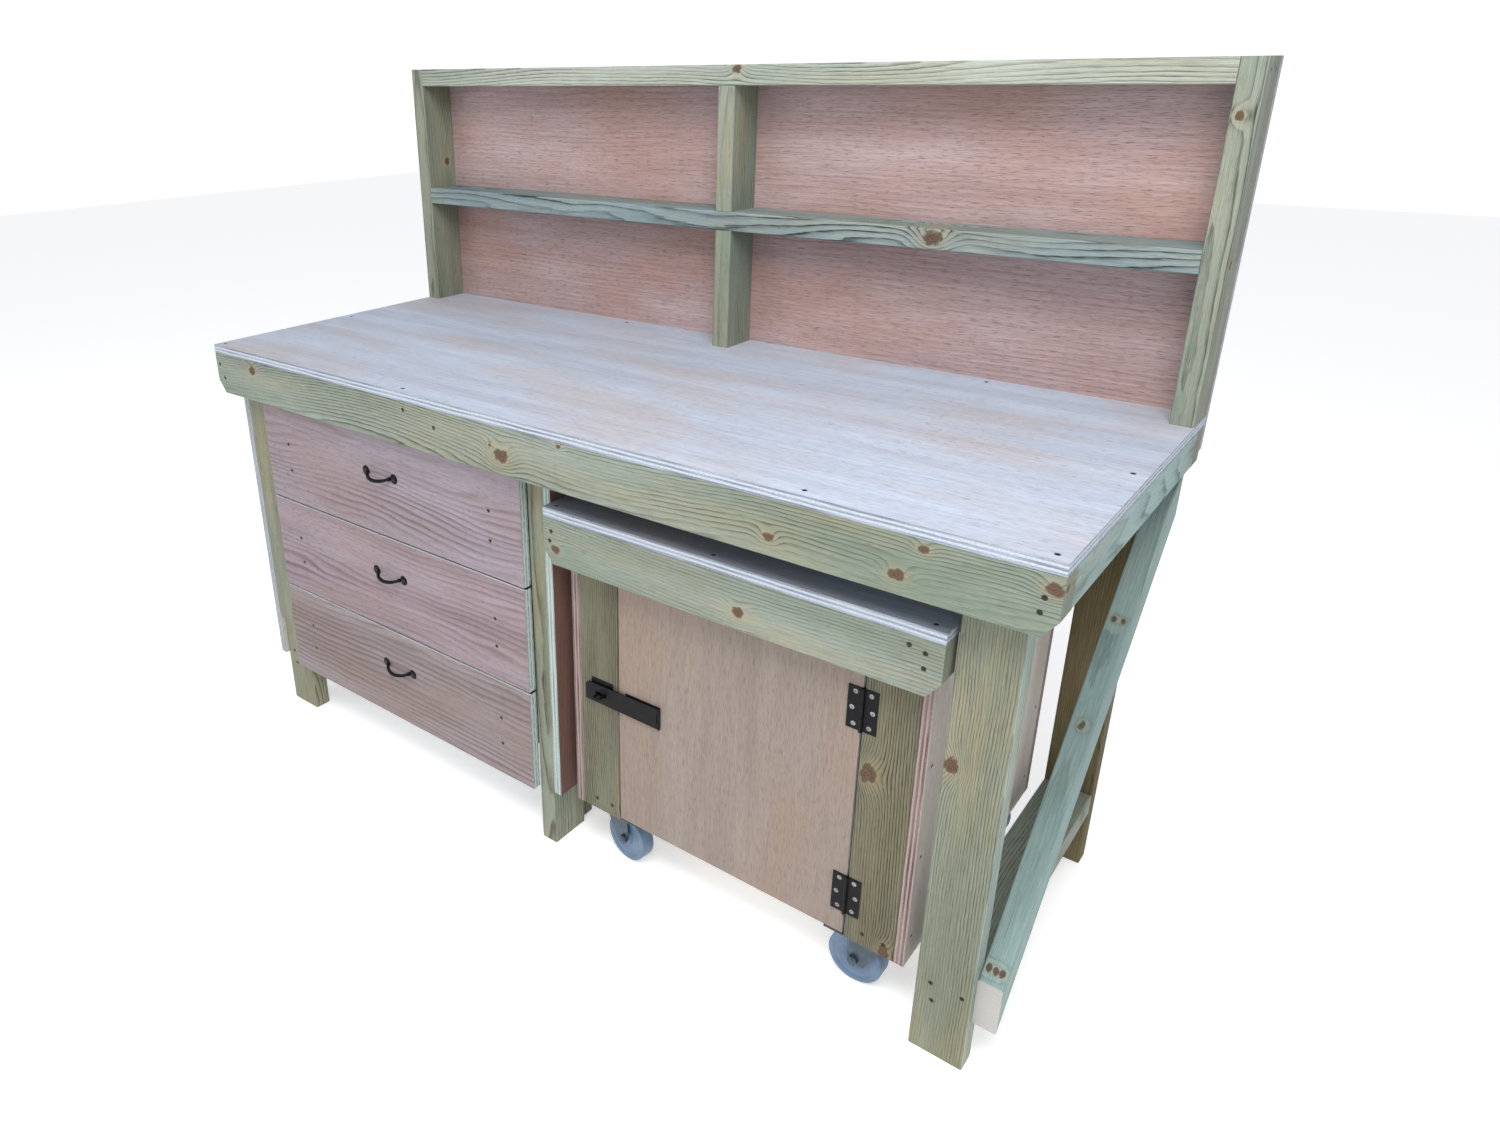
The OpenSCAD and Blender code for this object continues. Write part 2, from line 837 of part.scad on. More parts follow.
// The leaves on the trolley's post, with their pins and screws
module trolley_hinge_leaves() {
    color(black_iron) in_place() for (z = hinge_heights) {
        translate([hinge_x, hinge_y, z]) {
            difference() {
                hinge_leaf(1, outer_knuckles(hinge_h), inner_knuckles(hinge_h), hinge_h, hinge_leaf_w);
                translate([0, body_y - hinge_y, 0]) leaf_screws(1) screw_hole(14);
            }
            translate([0, 0, 0.2]) hinge_pin(hinge_h - 0.4);
            translate([0, body_y - hinge_y, 0]) leaf_screws(1) screw(14);
        }
    }
}

// The leaves on the door, with their screws
module door_hinge_leaves() {
    color(black_iron) in_place() for (z = hinge_heights) {
        translate([hinge_x, hinge_y, z]) {
            difference() {
                hinge_leaf(-1, inner_knuckles(hinge_h), outer_knuckles(hinge_h), hinge_h, hinge_leaf_w);
                translate([0, body_y - hinge_y, 0]) leaf_screws(-1) screw_hole(10);
            }
            translate([0, body_y - hinge_y, 0]) leaf_screws(-1) screw(10);
        }
    }
}

// The hasp's fixed plate on the door, under the closed strap
module hasp_base() {
    z0 = hasp_z - hasp_barrel_h / 2;
    color(black_iron) in_place() translate([hasp_x, hinge_y, z0]) {
        hinge_leaf(-1, inner_knuckles(hasp_barrel_h), outer_knuckles(hasp_barrel_h), hasp_barrel_h, 76);
    }
}

// The swinging strap, with its slot over the staple and its pin
module hasp_strap() {
    z0 = hasp_z - hasp_barrel_h / 2;
    slot_x = staple_x - hasp_x;
    color(black_iron) in_place() translate([hasp_x, hinge_y, z0]) {
        for (span = outer_knuckles(hasp_barrel_h)) knuckle(span[0], span[1] - span[0]);
        translate([0, 0, -2]) cylinder(d = pin_d, h = hasp_barrel_h + 4);
        translate([0, -barrel_d / 2 + plate_t, hasp_barrel_h / 2])
            rotate([90, 0, 0])
                linear_extrude(plate_t)
                    difference() {
                        polygon([
                            [-barrel_d / 2, -hasp_strap_h[0] / 2], [-barrel_d / 2, hasp_strap_h[0] / 2],
                            [-84, 20], [8 - hasp_l, hasp_strap_h[1] / 2],
                            [-hasp_l, hasp_strap_h[1] / 2 - 5], [-hasp_l, -hasp_strap_h[1] / 2],
                            [-84, -20]
                        ]);
                        translate([slot_x - slot_size[0] / 2, -slot_size[1] / 2]) square(slot_size);
                    }
        for (span = outer_knuckles(hasp_barrel_h)) {
            translate([-barrel_d / 2 - 1, -barrel_d / 2, span[0] + 1])
                cube([barrel_d / 2 + 1 - pin_d / 2 - 0.4, plate_t, span[1] - span[0] - 2]);
        }
    }
}

module staple_screws() {
    for (x = [-18, 18]) translate([x, -plate_t, 15]) facing("front") children();
}

// The plate on the left post, with the loop that comes through the strap
module hasp_staple() {
    loop_r = staple_bar / 2;
    leg_x = staple_w / 2 - loop_r;
    color(black_iron) in_place() translate([staple_x, body_y, hasp_z]) {
        difference() {
            translate([-staple_plate[0] / 2, -plate_t, -14])
                cube([staple_plate[0], plate_t, staple_plate[1]]);
            translate([0, 0, 7]) staple_screws() screw_hole(14);
        }
        translate([0, 0, 7]) staple_screws() screw(14);
        for (side = [-1, 1]) {
            translate([side * leg_x, -plate_t, 0])
                rotate([90, 0, 0]) cylinder(d = staple_bar, h = staple_reach);
        }
        translate([0, -plate_t - staple_reach, 0])
            rotate([0, 0, 180])
                rotate_extrude(angle = 180)
                    translate([leg_x, 0]) circle(d = staple_bar);
    }
}

module trolley_screws() {
    color(zinc) in_place() {
        screws(trolley_top_screws, "top", long_screw);
        screws(trolley_rail_screws, "front", short_screw);
        screws(post_screws, "front", short_screw);
        screws(side_panel_screws, "right", short_screw);
        for (place = castor_bolt_places) {
            translate([place[0], place[1], trolley_z - castor_plate_t - bolt_head_h])
                cylinder(d = 11, h = bolt_head_h, $fn = 6);
            translate([place[0], place[1], trolley_z - castor_plate_t - 0.5])
                cylinder(d = screw_d, h = short_screw);
        }
    }
}

// ----------------------------------------------------------- the castors

// Top plates with the upper ball races and the kingpins
module castor_plates() {
    color(castor_steel) in_place() for (place = castor_places) translate(place) {
        difference() {
            translate([-castor_plate_l / 2, -castor_plate_w / 2, trolley_z - castor_plate_t])
                cube([castor_plate_l, castor_plate_w, castor_plate_t]);
            for (x = [-1, 1], y = [-1, 1]) {
                translate([x * castor_bolts[0], y * castor_bolts[1], trolley_z - 2 * castor_plate_t])
                    cylinder(d = screw_d + 2 * screw_gap, h = 3 * castor_plate_t);
            }
        }
        translate([0, 0, web_z + 7.5]) cylinder(d = 54, h = trolley_z - castor_plate_t - web_z - 7.5);
        translate([0, 0, web_z - 1]) cylinder(d = kingpin_d, h = trolley_z - web_z - 1);
        translate([0, 0, web_z - 3]) cylinder(d = 18, h = 2.5);
    }
}

// The fork, its lower race and the wheel's axle bolt and nut.
// The wheel lies towards +X from the swivel axis before heading turns it.
module castor_fork(x, y, heading) {
    color(castor_steel) in_place() translate([x, y, 0]) rotate([0, 0, heading]) {
        difference() {
            union() {
                translate([-30, -fork_out, web_z]) cube([60, 2 * fork_out, 3]);
                translate([0, 0, web_z + 3]) cylinder(d = 48, h = 4);
            }
            translate([0, 0, web_z - 1]) cylinder(d = kingpin_d + 0.2, h = 10);
        }
        for (side = [-fork_in, fork_out]) {
            translate([0, side, 0])
                rotate([90, 0, 0])
                    linear_extrude(fork_t)
                        polygon([
                            [-30, web_z + 3], [-30, web_z - 12],
                            [castor_trail - 19, wheel_r - 9], [castor_trail + 5, wheel_r - 9],
                            [castor_trail + 12, wheel_r + 8], [castor_trail + 9, web_z - 12],
                            [30, web_z + 3]
                        ]);
        }
        translate([castor_trail, fork_out + 7, wheel_r])
            rotate([90, 0, 0]) cylinder(d = axle_d, h = 2 * fork_out + 14);
        for (side = [-fork_out, fork_out + 6]) {
            translate([castor_trail, side, wheel_r])
                rotate([90, 0, 0]) cylinder(d = 19, h = 6, $fn = 6);
        }
    }
}

// A solid wheel with a hub and a shallow dish in each face
module castor_wheel(x, y, heading) {
    half = wheel_w / 2;
    color(nylon) in_place() translate([x, y, 0]) rotate([0, 0, heading])
        translate([castor_trail, 0, wheel_r])
            rotate([90, 0, 0])
                rotate_extrude($fn = 96)
                    polygon([
                        [axle_d / 2 + 0.05, -half - 1.5], [14, -half - 1.5], [16, -half + 3],
                        [wheel_r - 12, -half + 2], [wheel_r - 8, -half], [wheel_r - 2, -half],
                        [wheel_r, -half + 2], [wheel_r, half - 2], [wheel_r - 2, half],
                        [wheel_r - 8, half], [wheel_r - 12, half - 2], [16, half - 3],
                        [14, half + 1.5], [axle_d / 2 + 0.05, half + 1.5]
                    ]);
}

heading_front_left = -9;
heading_front_right = 180;
heading_rear_left = 200;
heading_rear_right = 35;

module castor_front_left_fork() { castor_fork(castor_left, castor_front, heading_front_left); }
module castor_front_left_wheel() { castor_wheel(castor_left, castor_front, heading_front_left); }
module castor_front_right_fork() { castor_fork(castor_right, castor_front, heading_front_right); }
module castor_front_right_wheel() { castor_wheel(castor_right, castor_front, heading_front_right); }
module castor_rear_left_fork() { castor_fork(castor_left, castor_rear, heading_rear_left); }
module castor_rear_left_wheel() { castor_wheel(castor_left, castor_rear, heading_rear_left); }
module castor_rear_right_fork() { castor_fork(castor_right, castor_rear, heading_rear_right); }
module castor_rear_right_wheel() { castor_wheel(castor_right, castor_rear, heading_rear_right); }

worktop();
front_rail();
back_rail();
cross_rails();
leg_front_left();
leg_front_middle();
leg_front_right();
leg_rear_left();
leg_rear_middle();
leg_rear_right();
runner_posts();
lower_rails();
side_brace();
side_panel();
partition_panel();
back_panel();
upright_left();
upright_middle();
upright_right();
shelf_rail();
top_rail();
drawer_channels();
bench_screws();
drawer_bottom_front();
drawer_bottom_box();
drawer_bottom_handle();
drawer_bottom_runners();
drawer_bottom_screws();
drawer_middle_front();
drawer_middle_box();
drawer_middle_handle();
drawer_middle_runners();
drawer_middle_screws();
drawer_top_front();
drawer_top_box();
drawer_top_handle();
drawer_top_runners();
drawer_top_screws();
trolley_top();
trolley_front_rail();
trolley_posts();
trolley_side_panels();
trolley_back_panel();
trolley_floor();
trolley_hinge_leaves();
hasp_staple();
castor_plates();
trolley_screws();
trolley_door();
door_hinge_leaves();
hasp_base();
hasp_strap();
castor_front_left_fork();
castor_front_left_wheel();
castor_front_right_fork();
castor_front_right_wheel();
castor_rear_left_fork();
castor_rear_left_wheel();
castor_rear_right_fork();
castor_rear_right_wheel();
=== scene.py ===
from math import atan2, cos, radians, sin, sqrt, tau

import bmesh
import bpy
from mathutils import Matrix, Vector


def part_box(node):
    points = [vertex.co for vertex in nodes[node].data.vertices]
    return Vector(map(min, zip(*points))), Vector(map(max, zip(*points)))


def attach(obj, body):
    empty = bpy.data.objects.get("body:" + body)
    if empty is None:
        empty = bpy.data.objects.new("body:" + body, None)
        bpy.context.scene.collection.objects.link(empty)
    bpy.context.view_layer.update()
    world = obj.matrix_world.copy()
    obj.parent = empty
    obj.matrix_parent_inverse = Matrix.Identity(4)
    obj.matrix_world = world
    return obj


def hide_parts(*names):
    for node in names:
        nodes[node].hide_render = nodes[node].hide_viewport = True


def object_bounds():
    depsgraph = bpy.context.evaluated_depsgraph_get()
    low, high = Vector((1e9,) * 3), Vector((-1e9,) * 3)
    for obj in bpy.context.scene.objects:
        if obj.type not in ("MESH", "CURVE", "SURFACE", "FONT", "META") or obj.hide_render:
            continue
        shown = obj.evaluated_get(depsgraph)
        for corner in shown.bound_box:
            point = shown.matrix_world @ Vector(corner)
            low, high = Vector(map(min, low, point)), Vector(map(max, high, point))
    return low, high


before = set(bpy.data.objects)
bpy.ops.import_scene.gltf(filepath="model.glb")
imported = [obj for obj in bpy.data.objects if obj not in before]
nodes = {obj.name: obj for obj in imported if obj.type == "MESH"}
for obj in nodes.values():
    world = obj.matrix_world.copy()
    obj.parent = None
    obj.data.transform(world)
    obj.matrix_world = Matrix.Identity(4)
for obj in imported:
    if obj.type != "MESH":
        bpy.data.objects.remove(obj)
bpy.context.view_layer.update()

scene = bpy.context.scene
scene.view_settings.view_transform = "Standard"
MM = 0.001


# ------------------------------------------------------------------ camera

CAMERA_PLACE = Vector((1.20595, -1.57960, 1.46619))
CAMERA_YAW = radians(39.45)
CAMERA_PITCH = radians(-22.33)
CAMERA_ROLL = radians(-0.89)
CAMERA_LENS = 25.21
CAMERA_SHIFT = (0.0937, -0.0421)


def make_camera():
    data = bpy.data.cameras.new("camera")
    data.sensor_width = 36.0
    data.lens = CAMERA_LENS
    data.shift_x, data.shift_y = CAMERA_SHIFT
    data.clip_end = 50.0
    camera = bpy.data.objects.new("camera", data)
    scene.collection.objects.link(camera)
    look = Vector((
        -sin(CAMERA_YAW) * cos(CAMERA_PITCH),
        cos(CAMERA_YAW) * cos(CAMERA_PITCH),
        sin(CAMERA_PITCH),
    ))
    level_right = look.cross(Vector((0, 0, 1))).normalized()
    level_up = level_right.cross(look)
    right = level_right * cos(CAMERA_ROLL) + level_up * sin(CAMERA_ROLL)
    up = level_up * cos(CAMERA_ROLL) - level_right * sin(CAMERA_ROLL)
    turn = Matrix((right, up, -look)).transposed()
    camera.matrix_world = Matrix.Translation(CAMERA_PLACE) @ turn.to_4x4()
    scene.camera = camera


make_camera()


# ------------------------------------------------------ node-tree shorthand


def srgb(r, g, b):
    """A colour given in 0-255 display values, as linear RGBA."""
    def linear(c):
        c /= 255
        return c / 12.92 if c <= 0.04045 else ((c + 0.055) / 1.055) ** 2.4
    return (linear(r), linear(g), linear(b), 1.0)


class Tree:
    """Short calls that add a node, wire its inputs and return its output."""

    def __init__(self, tree):
        self.tree = tree

    def add(self, kind, **settings):
        node = self.tree.nodes.new("ShaderNode" + kind)
        for name, value in settings.items():
            setattr(node, name, value)
        return node

    def wire(self, socket, value):
        if isinstance(value, bpy.types.NodeSocket):
            self.tree.links.new(value, socket)
        elif value is not None:
            socket.default_value = value

    def math(self, operation, a, b=None, c=None, clamp=False):
        node = self.add("Math", operation=operation, use_clamp=clamp)
        for socket, value in zip(node.inputs, (a, b, c)):
            self.wire(socket, value)
        return node.outputs[0]

    def vector(self, operation, a, b=None):
        node = self.add("VectorMath", operation=operation)
        self.wire(node.inputs[0], a)
        self.wire(node.inputs[1], b)
        return node.outputs["Value" if operation in ("LENGTH", "DOT_PRODUCT") else "Vector"]

    def mix(self, factor, a, b, blend="MIX"):
        node = self.add("Mix", data_type="RGBA", blend_type=blend)
        self.wire(node.inputs[0], factor)
        self.wire(node.inputs[6], a)
        self.wire(node.inputs[7], b)
        return node.outputs[2]

    def range(self, value, low, high, to_low=0.0, to_high=1.0):
        """The value's way from low to high, held at both ends."""
        node = self.add("MapRange", clamp=True)
        for socket, number in zip(node.inputs, (value, low, high, to_low, to_high)):
            self.wire(socket, number)
        return node.outputs[0]

    def ramp(self, value, stops):
        """A grey ramp through (place, brightness) stops."""
        node = self.add("ValToRGB")
        ramp = node.color_ramp
        while len(ramp.elements) < len(stops):
            ramp.elements.new(0.5)
        for element, (place, grey) in zip(ramp.elements, stops):
            element.position = place
            element.color = (grey, grey, grey, 1)
        self.wire(node.inputs[0], value)
        return node.outputs[0]

    def noise(self, place, scale=1.0, detail=3.0, roughness=0.5, stretch=None, distortion=0.0):
        if stretch is not None:
            place = self.vector("MULTIPLY", place, stretch)
        node = self.add("TexNoise")
        self.wire(node.inputs["Vector"], place)
        self.wire(node.inputs["Scale"], scale)
        self.wire(node.inputs["Detail"], detail)
        self.wire(node.inputs["Roughness"], roughness)
        self.wire(node.inputs["Distortion"], distortion)
        return node.outputs[0]

    def split(self, vector):
        node = self.add("SeparateXYZ")
        self.wire(node.inputs[0], vector)
        return node.outputs

    def shade(self, colour, brightness):
        """A colour times a brightness."""
        return self.mix(1.0, colour, self.join(brightness, brightness, brightness), "MULTIPLY")

    def join(self, x, y, z):
        node = self.add("CombineXYZ")
        for socket, value in zip(node.inputs, (x, y, z)):
            self.wire(socket, value)
        return node.outputs[0]

    def bump(self, height, distance, strength=1.0):
        node = self.add("Bump")
        self.wire(node.inputs["Strength"], strength)
        self.wire(node.inputs["Distance"], distance)
        self.wire(node.inputs["Height"], height)
        return node.outputs[0]


def new_material(name):
    material = bpy.data.materials.new(name)
    material.use_nodes = True
    tree = Tree(material.node_tree)
    shader = material.node_tree.nodes["Principled BSDF"]
    return material, tree, shader


def coat(node, material):
    """Gives a CAD node one material in all its slots."""
    part = nodes[node]
    if not part.material_slots:
        part.data.materials.append(material)
    for place in part.material_slots:
        place.material = material


AXES = {"x": (0, 1, 2), "y": (1, 0, 2), "z": (2, 0, 1)}


def board_place(tree, low, along, offset=(0, 0, 0)):
    """Board coordinates in metres from its low corner: along, across, across.

    along is an axis name, or the slope of a board that rises towards +Y."""
    coordinates = tree.add("TexCoord").outputs["Object"]
    moved = tree.vector("SUBTRACT", coordinates, tuple(low))
    if isinstance(along, str):
        parts = tree.split(moved)
        place = tree.join(*(parts[i] for i in AXES[along]))
    else:
        place = tree.join(
            tree.vector("DOT_PRODUCT", moved, (0, cos(along), sin(along))),
            tree.vector("DOT_PRODUCT", moved, (1, 0, 0)),
            tree.vector("DOT_PRODUCT", moved, (0, -sin(along), cos(along))),
        )
    return place, tree.vector("ADD", place, offset)


# ------------------------------------------------------------------ timber

# Ground, patches and late-wood lines of the boards
RAIL = (srgb(144, 152, 142), srgb(121, 133, 119), srgb(54, 58, 46))
LEG = (srgb(141, 148, 134), srgb(124, 129, 112), srgb(74, 70, 50))
OLIVE = (srgb(121, 123, 106), srgb(102, 98, 80), srgb(56, 48, 34))
TEAL = (srgb(152, 174, 172), srgb(129, 153, 151), srgb(90, 108, 102))
SHELF = (srgb(144, 160, 162), srgb(116, 134, 138), srgb(48, 60, 60))
LIGHT = (srgb(176, 182, 172), srgb(152, 160, 150), srgb(84, 88, 74))
BROWN = (srgb(108, 98, 70), srgb(92, 82, 56), srgb(56, 46, 28))
TAN = srgb(158, 146, 112)
KNOT_EDGE = srgb(60, 46, 36)
KNOT_CORE = srgb(104, 80, 64)
KNOT_RING = srgb(78, 58, 46)
KNOT_HALO = srgb(164, 144, 108)

# Darkness across one growth ring, from early wood to late wood
RING_PROFILE = (
    (0.0, 0.12), (0.08, 0.0), (0.45, 0.08), (0.70, 0.40), (0.88, 1.0), (0.96, 0.9), (1.0, 0.12),
)
# Darkness across one line of a veneer's figure
FIGURE_PROFILE = ((0.0, 0.2), (0.12, 0.0), (0.5, 0.25), (0.8, 1.0), (0.93, 0.6), (1.0, 0.2))


def timber_group():
    """Growth rings round a wandering pith, cut by the board's faces."""
    group = bpy.data.node_groups.new("timber_grain", "ShaderNodeTree")
    face = group.interface
    for name, kind, default in (
        ("Place", "Vector", None), ("Pith", "Vector", None), ("Spacing", "Float", 0.005),
        ("Swell", "Float", 0.0), ("Contrast", "Float", 0.8), ("Warmth", "Float", 0.3),
        ("Ground", "Color", None), ("Patch", "Color", None), ("Late", "Color", None),
    ):
        socket = face.new_socket(name, in_out="INPUT", socket_type="NodeSocket" + kind)
        if default is not None:
            socket.default_value = default
    for name, kind in (("Color", "Color"), ("Rings", "Float"), ("Fibre", "Float")):
        face.new_socket(name, in_out="OUTPUT", socket_type="NodeSocket" + kind)
    start = group.nodes.new("NodeGroupInput")
    end = group.nodes.new("NodeGroupOutput")
    t = Tree(group)
    place = start.outputs["Place"]
    wander = t.add("TexNoise")
    t.wire(wander.inputs["Vector"], t.vector("MULTIPLY", place, (1.4, 0.4, 0.4)))
    t.wire(wander.inputs["Scale"], 1.0)
    t.wire(wander.inputs["Detail"], 1.0)
    drift = t.vector("SUBTRACT", wander.outputs["Color"], (0.5, 0.5, 0.5))
    drift = t.vector("MULTIPLY", drift, (0, 0.07, 0.07))
    section = t.vector("ADD", t.vector("SUBTRACT", place, start.outputs["Pith"]), drift)
    radius = t.vector("LENGTH", t.vector("MULTIPLY", section, (0, 1, 1)))
    ripple = t.noise(place, stretch=(5, 26, 26), detail=3)
    small = t.noise(place, stretch=(26, 180, 180), detail=2)
    radius = t.math("ADD", radius, t.math("MULTIPLY", t.math("SUBTRACT", ripple, 0.5), 0.008))
    radius = t.math("ADD", radius, t.math("MULTIPLY", t.math("SUBTRACT", small, 0.5), 0.0016))
    radius = t.math("ADD", radius, start.outputs["Swell"])
    phase = t.math("FRACT", t.math("DIVIDE", radius, start.outputs["Spacing"]))
    line = t.ramp(phase, RING_PROFILE)
    strength = t.range(t.noise(place, stretch=(2.0, 20, 20), detail=2), 0.34, 0.62, 0.25, 1.25)
    fibre = t.noise(place, stretch=(16, 700, 700), detail=4, roughness=0.65)
    broken = t.range(t.noise(place, stretch=(30, 420, 420), detail=3), 0.3, 0.62, 0.45, 1.0)
    rings = t.math("MULTIPLY", t.math("MULTIPLY", line, strength), broken)
    fleck = t.range(t.noise(place, stretch=(60, 1100, 1100), detail=2), 0.60, 0.72)
    patch = t.noise(place, stretch=(1.6, 9, 9), detail=4)
    ground = t.mix(t.range(patch, 0.35, 0.68), start.outputs["Ground"], start.outputs["Patch"])
    warm = t.range(t.noise(place, stretch=(2.6, 14, 14), detail=3), 0.45, 0.66)
    ground = t.mix(t.math("MULTIPLY", warm, start.outputs["Warmth"]), ground, TAN)
    inked = t.math("MULTIPLY", rings, start.outputs["Contrast"], clamp=True)
    colour = t.mix(inked, ground, start.outputs["Late"])
    streak = t.range(fibre, 0.28, 0.72, 0.70, 1.22)
    colour = t.shade(colour, streak)
    colour = t.mix(t.math("MULTIPLY", fleck, 0.5), colour, start.outputs["Late"])
    t.wire(end.inputs["Color"], colour)
    t.wire(end.inputs["Rings"], rings)
    t.wire(end.inputs["Fibre"], fibre)
    return group


TIMBER = timber_group()


def knot_nodes(tree, place, knots):
    """How far the rings swell round the knots, and the amounts of halo, rim and core.

    A knot is (centre, mask, radius), with the mask 0 along the axis it looks along."""
    swell = 0.0
    jitter = tree.math("SUBTRACT", tree.noise(place, scale=90, detail=3), 0.5)
    nearest = None
    for centre, mask, size in knots:
        offset = tree.vector("MULTIPLY", tree.vector("SUBTRACT", place, centre), mask)
        gap = tree.vector("LENGTH", offset)
        scaled = tree.math("DIVIDE", gap, size * 2.0)
        hump = tree.math("EXPONENT", tree.math("MULTIPLY", tree.math("POWER", scaled, 2.0), -1.0))
        swell = tree.math("ADD", tree.math("MULTIPLY", hump, size * 1.5), swell)
        share = tree.math("DIVIDE", gap, size)
        nearest = share if nearest is None else tree.math("MINIMUM", share, nearest)
    rough = tree.math("ADD", nearest, tree.math("MULTIPLY", jitter, 1.3))
    halo = tree.range(rough, 2.4, 0.9)
    rim = tree.range(rough, 1.05, 0.84)
    core = tree.range(rough, 0.80, 0.52)
    rings = tree.math("SINE", tree.math("MULTIPLY", rough, 24.0))
    return swell, (halo, rim, core), rings


def timber(node, along, look=RAIL, pith=(0.03, -0.03), knots=(), spacing=5.0,
           contrast=0.85, warmth=0.3, seed=0.0, flank=None, butt=None):
    """A treated pine material for one CAD node.

    pith is in metres across the section, and spacing is one ring in millimetres.
    A knot is (along, across, face, radius) in metres, face 1 or 2 being the across
    axis that the knot looks along.
    flank brightens the +X side of the board as painted light, and butt colours an end that faces -Y."""
    material, t, shader = new_material("pine_" + node)
    place, shifted = board_place(t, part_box(node)[0], along, (seed * 3.7, 0, 0))
    swell = 0.0
    if knots:
        spots = []
        for u, v, face, size in knots:
            centre = (u, v, 0) if face == 2 else (u, 0, v)
            spots.append((centre, (0.75, 1, 0) if face == 2 else (0.75, 0, 1), size))
        swell, (halo, rim, core), rings = knot_nodes(t, place, spots)
    grain = t.add("Group", node_tree=TIMBER)
    values = {
        "Place": shifted, "Pith": (0, pith[0], pith[1]), "Spacing": spacing * MM,
        "Swell": swell, "Contrast": contrast, "Warmth": warmth,
        "Ground": look[0], "Patch": look[1], "Late": look[2],
    }
    for name, value in values.items():
        t.wire(grain.inputs[name], value)
    colour = grain.outputs["Color"]
    if knots:
        colour = t.mix(t.math("MULTIPLY", halo, 0.28), colour, KNOT_HALO)
        colour = t.mix(t.math("MULTIPLY", rim, 0.72), colour, KNOT_EDGE)
        centre = t.mix(t.range(rings, -0.4, 1.0), KNOT_CORE, KNOT_RING)
        colour = t.mix(core, colour, centre)
    if flank or butt:
        normal = t.split(t.add("TexCoord").outputs["Normal"])
    # Painted light: the +X side is multiplied brighter, as if lit from the right.
    if flank:
        colour = t.mix(t.range(normal[0], 0.6, 0.8), colour, t.mix(1.0, colour, flank, "MULTIPLY"))
    if butt:
        colour = t.mix(t.range(normal[1], -0.86, -0.95), colour, t.mix(0.75, colour, butt))
    height = t.math("ADD", t.math("MULTIPLY", grain.outputs["Fibre"], 0.9),
                    t.math("MULTIPLY", grain.outputs["Rings"], -0.6))
    t.wire(shader.inputs["Base Color"], colour)
    t.wire(shader.inputs["Roughness"], t.range(grain.outputs["Fibre"], 0.2, 0.8, 0.66, 0.86))
    t.wire(shader.inputs["Normal"], t.bump(height, 0.0010))
    shader.inputs["Specular IOR Level"].default_value = 0.25
    coat(node, material)


# ----------------------------------------------------------------- plywood


